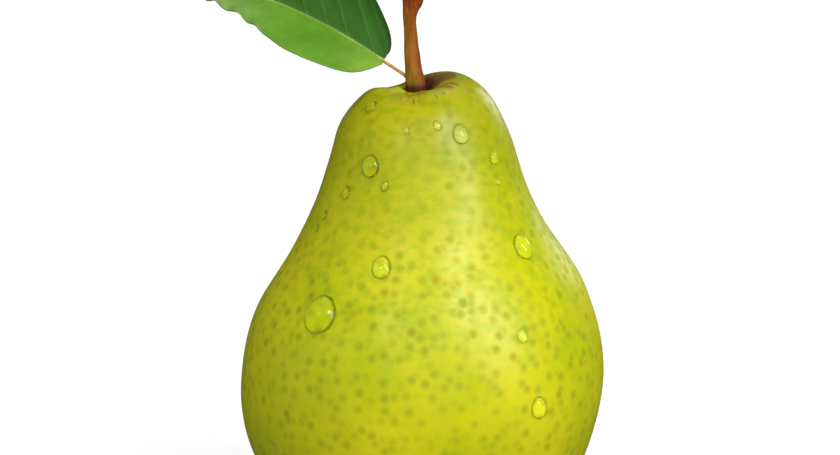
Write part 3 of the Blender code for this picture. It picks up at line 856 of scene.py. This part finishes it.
def makeStalk():
    # from the side of the stem to the blade, then on under the blade as its midrib
    centre, ahead, radius = alongStem(stemPath, 0.14)
    joint = centre + Vector((-radius + 0.45 * mm, 0.4 * mm, -0.3 * mm))
    pull = Vector((-1.8, 0, 1.2)) * mm
    free = interpolate_bezier(joint, joint + pull, leafBase - pull, leafBase, 12)
    below = Vector((0, 0.16, 0.46)) * mm
    path = free + [midrib(i / 24) - below for i in range(1, 23)]

    def place(share, turn, core):
        along = share * (len(path) - 1)
        i = min(int(along), len(path) - 2)
        t = along - i
        centre = path[i].lerp(path[i + 1], t)
        ahead = (path[min(i + 2, len(path) - 1)] - path[max(i - 1, 0)]).normalized()
        side = ahead.cross(Vector((0, 1, 0))).normalized()
        up = side.cross(ahead)
        radius = leaf["stalkRadius"] * (1 - 0.55 * ease(0.35, 1.0, share))
        radius += 0.12 * bump(0, 0.035, share)
        radius += 0.03 * math.cos(3 * turn)
        return centre + (side * math.cos(turn) + up * math.sin(turn)) * radius * core * mm

    bm = bmesh.new()
    tube(bm, 18, 90, 3, place)
    finishPiece(bm, "pear_leaf_stalk", stalkMaterial())


makeLeaf()
makeStalk()
print("leaf ready")


calyx = {
    "sepals": 5,
    "reach": 4.3,                 # mm from the middle to a sepal's tip
    "width": 2.9,
    "thickness": 0.22,
    "filaments": 14,
    "cup": (1.7, 1.1),            # radius and depth in mm of the cup between them
    "color": "#3A2412",
    "edge": "#6B4A2A",
}


def sepalMaterial():
    # sepals dried to brown paper: matt, with painted shade in the wrinkles where the bump dips
    material, shader = newMaterial("driedSepal")
    coords = addNode(material, "ShaderNodeTexCoord").outputs["Object"]
    grain = addNode(material, "ShaderNodeTexNoise", None,
                    {"Vector": coords, "Scale": 1 / (0.6 * mm), "Detail": 5.0, "Roughness": 0.65})
    color = setStops(addNode(material, "ShaderNodeValToRGB", None, {"Fac": grain.outputs["Fac"]}),
                     [(0.32, tint("#1F130A")), (0.50, tint(calyx["color"])), (0.72, tint(calyx["edge"]))])
    relief = addNode(material, "ShaderNodeBump", None,
                     {"Height": grain.outputs["Fac"], "Strength": 0.6, "Distance": 0.15 * mm})
    rough = addNode(material, "ShaderNodeMapRange", None,
                    {"Value": grain.outputs["Fac"], "To Min": 0.75, "To Max": 0.95})
    feed(material, shader, {"Base Color": color, "Normal": relief.outputs["Normal"],
                            "Roughness": rough.outputs["Result"]})
    return material


def addSepal(bm, i, draw):
    # one sepal, curled and a little twisted, with its tip hanging down
    turn = 2 * math.pi * i / calyx["sepals"] + 0.12 * draw.uniform(-1, 1)
    curl = draw.uniform(0.7, 1.2)
    twist = draw.uniform(-0.5, 0.5)
    length = calyx["reach"] * draw.uniform(0.90, 1.0)
    sepal = bmesh.ops.create_grid(bm, x_segments=14, y_segments=8, size=1.0)["verts"]
    for vert in sepal:
        share = 0.5 + 0.5 * vert.co.x
        v = vert.co.y
        half = calyx["width"] / 2 * (0.75 + 0.45 * math.sin(math.pi * share))
        half = half * (1 - share ** 2.2) + 0.05
        along = 1.0 + (length - 1.0) * share * (1 - 0.10 * curl * share)
        fall = 0.15 + 1.9 * share ** 1.6 - 0.55 * curl * max(share - 0.7, 0) / 0.3
        fall -= 0.35 * v * v * (1 - 0.5 * share) + twist * v * share * 0.4
        spot = Vector((along, half * v, -fall))
        spot.z += 0.12 * noise.noise(Vector((spot.x, spot.y, i * 3.1)) * 1.3)
        vert.co = spot * mm
    bmesh.ops.rotate(bm, verts=sepal, cent=(0, 0, 0), matrix=Matrix.Rotation(turn, 3, "Z"))


def makeCalyx():
    # five sepals round a small cup, with the withered threads of the flower in it
    draw = random.Random(5)
    middle = (calyxLow + calyxHigh) / 2
    top = calyxHigh.z
    cupRadius, cupDepth = calyx["cup"]
    bm = bmesh.new()
    for i in range(calyx["sepals"]):
        addSepal(bm, i, draw)
    turnOutward(bm)
    bmesh.ops.solidify(bm, geom=bm.faces[:], thickness=calyx["thickness"] * mm)
    turnOutward(bm)
    bmesh.ops.translate(bm, verts=bm.verts, vec=(middle.x, middle.y, top - 0.35 * mm))

    def cup(share, turn, core):
        wide = cupRadius - 0.25 * math.sin(math.pi * share) + 0.12 * math.cos(5 * turn)
        depth = cupDepth * share - 0.5 * (1 - core) * (1 - share)
        return Vector((middle.x, middle.y, top - 1.45 * mm)) + Vector(
            (wide * core * math.cos(turn), wide * core * math.sin(turn), depth)) * mm

    tube(bm, 30, 6, 5, cup)
    for i in range(calyx["filaments"]):
        turn = 2 * math.pi * i / calyx["filaments"] + draw.uniform(-0.2, 0.2)
        lean = draw.uniform(-0.5, 0.7)
        length = draw.uniform(0.9, 1.6)
        foot = Vector((math.cos(turn), math.sin(turn), 0)) * draw.uniform(0.9, 1.35)

        def thread(share, around, core, foot=foot, lean=lean, length=length, turn=turn):
            bend = lean * share * share
            radius = 0.07 + 0.09 * bump(1, 0.15, share)
            spot = foot + Vector((math.cos(turn) * bend, math.sin(turn) * bend, -length * share))
            spot += Vector((math.cos(around), math.sin(around), 0)) * radius * core
            return Vector((middle.x, middle.y, top - 1.35 * mm)) + spot * mm

        tube(bm, 8, 8, 1, thread)
    finishPiece(bm, "pear_calyx", sepalMaterial(), ["calyx"])


makeCalyx()
print("calyx ready")


dew = {
    # degrees from the front to the right, height and width in mm
    "front": [(-40.4, 51.0, 7.0), (-18.8, 60.3, 3.6), (50.6, 62.5, 4.4), (37.9, 33.8, 3.6),
              (26.2, 84.4, 3.2), (-34.9, 78.3, 3.8), (48.7, 79.3, 2.2), (10.0, 86.1, 1.5),
              (-23.0, 74.9, 1.5), (-49.4, 72.6, 2.0), (-62.3, 67.6, 1.3), (-65.5, 64.9, 1.1),
              (-54.4, 88.5, 2.2), (-12.8, 85.2, 1.3), (47.6, 74.8, 1.1), (34.5, 47.7, 2.2)],
    "behind": 12,                 # more of them scattered over the back
    "widths": (1.2, 4.6),
    "stretch": (1.30, 0.03),      # longer down the skin than across, wide drops less so by this per mm
    "height": 0.32,               # of its width
    "contact": 66,                # degrees between water and skin
    "foot": 0.20,                 # mm, thickness of the edge that clings to the skin
}


def waterMaterial():
    # clear water: smooth and bright, with the least unevenness where it clings to the wax
    material, shader = newMaterial("clearDew")
    coords = addNode(material, "ShaderNodeTexCoord").outputs["Object"]
    swell = addNode(material, "ShaderNodeTexNoise", None,
                    {"Vector": coords, "Scale": 1 / (2.5 * mm), "Detail": 0.0})
    relief = addNode(material, "ShaderNodeBump", None,
                     {"Height": swell.outputs["Fac"], "Strength": 0.15, "Distance": 0.05 * mm})
    feed(material, shader, {"Normal": relief.outputs["Normal"]})
    shader.inputs["Base Color"].default_value = tint("#FCFFF6")
    shader.inputs["Roughness"].default_value = 0.0
    shader.inputs["IOR"].default_value = 1.333
    shader.inputs["Specular IOR Level"].default_value = 1.0
    shader.inputs["Transmission Weight"].default_value = 1.0
    return material


def addDrop(domes, feet, azimuth, height, width, stretch, skew):
    # a dome of water that follows the skin under it and sags a little, and the thin foot round it
    outward = aroundFruit(azimuth, 0, 1)
    axis = fruitAxis + Vector((0, 0, height * mm))
    spot, normal, _, _ = skinTree.ray_cast(axis + outward * 0.1, -outward)
    if spot is None:
        return
    down = (normal * normal.z - Vector((0, 0, 1))).normalized()
    across = down.cross(normal)

    longest, shorter = dew["stretch"]
    stretch *= longest - shorter * width

    def settle(vert, reach, lift):
        turn = math.atan2(vert.co.y, vert.co.x)
        v = math.sin(turn) * reach * width / 2 * stretch
        u = math.cos(turn) * reach * width / 2 * (1 + 0.16 * v / width)      # fuller at its lower end
        v += 0.22 * max(lift, 0)                                             # and hangs over it
        under = spot + (across * (u + skew * v) + down * v) * mm
        hit = skinTree.ray_cast(under + normal * 4 * mm, -normal)[0] or under
        vert.co = hit + normal * lift * mm

    contact = math.radians(dew["contact"])
    fine = 40 if width > 3 else 24
    dome = bmesh.new()
    bmesh.ops.create_uvsphere(dome, u_segments=fine, v_segments=fine // 2, radius=1)
    for vert in dome.verts:
        if vert.co.z >= 0:
            angle = math.acos(min(vert.co.z, 1)) * contact / (math.pi / 2)
            lift = (math.cos(angle) - math.cos(contact)) / (1 - math.cos(contact)) * dew["height"] * width
            settle(vert, math.sin(angle) / math.sin(contact), lift - 0.04)
        else:
            settle(vert, math.hypot(vert.co.x, vert.co.y), -0.16)
    turnOutward(dome)
    addPart(domes, dome)
    thick = dew["foot"] * (0.5 + 0.12 * width) / (width / 2)
    foot = bmesh.new()
    ring = bmesh.ops.create_circle(foot, segments=8, radius=thick)["verts"]
    bmesh.ops.rotate(foot, verts=ring, cent=(0, 0, 0), matrix=Matrix.Rotation(math.pi / 2, 3, "X"))
    bmesh.ops.translate(foot, verts=ring, vec=(1, 0, 0))
    bmesh.ops.spin(foot, geom=foot.verts[:] + foot.edges[:], cent=(0, 0, 0), axis=(0, 0, 1),
                   angle=2 * math.pi, steps=48, use_merge=True)
    for vert in foot.verts:
        settle(vert, math.hypot(vert.co.x, vert.co.y), vert.co.z * width / 2 - 0.02)
    turnOutward(foot)
    addPart(feet, foot)


def makeDew():
    draw = random.Random(11)
    domes = bmesh.new()
    feet = bmesh.new()
    for azimuth, height, width in dew["front"]:
        addDrop(domes, feet, azimuth, height, width, draw.uniform(0.94, 1.04), draw.uniform(-0.12, 0.05))
    for i in range(dew["behind"]):
        azimuth = 116 + 128 * (i + draw.uniform(0.1, 0.9)) / dew["behind"]
        height = draw.uniform(26, 84)
        least, most = dew["widths"]
        width = least + (most - least) * draw.random() ** 2
        addDrop(domes, feet, azimuth, height, width, draw.uniform(0.94, 1.04), draw.uniform(-0.1, 0.1))
    water = waterMaterial()
    drops = finishPiece(domes, "dew_drops", water)
    drops.visible_shadow = False            # light reaches the skin through the water
    finishPiece(feet, "dew_feet", water)


makeDew()
print("dew ready")
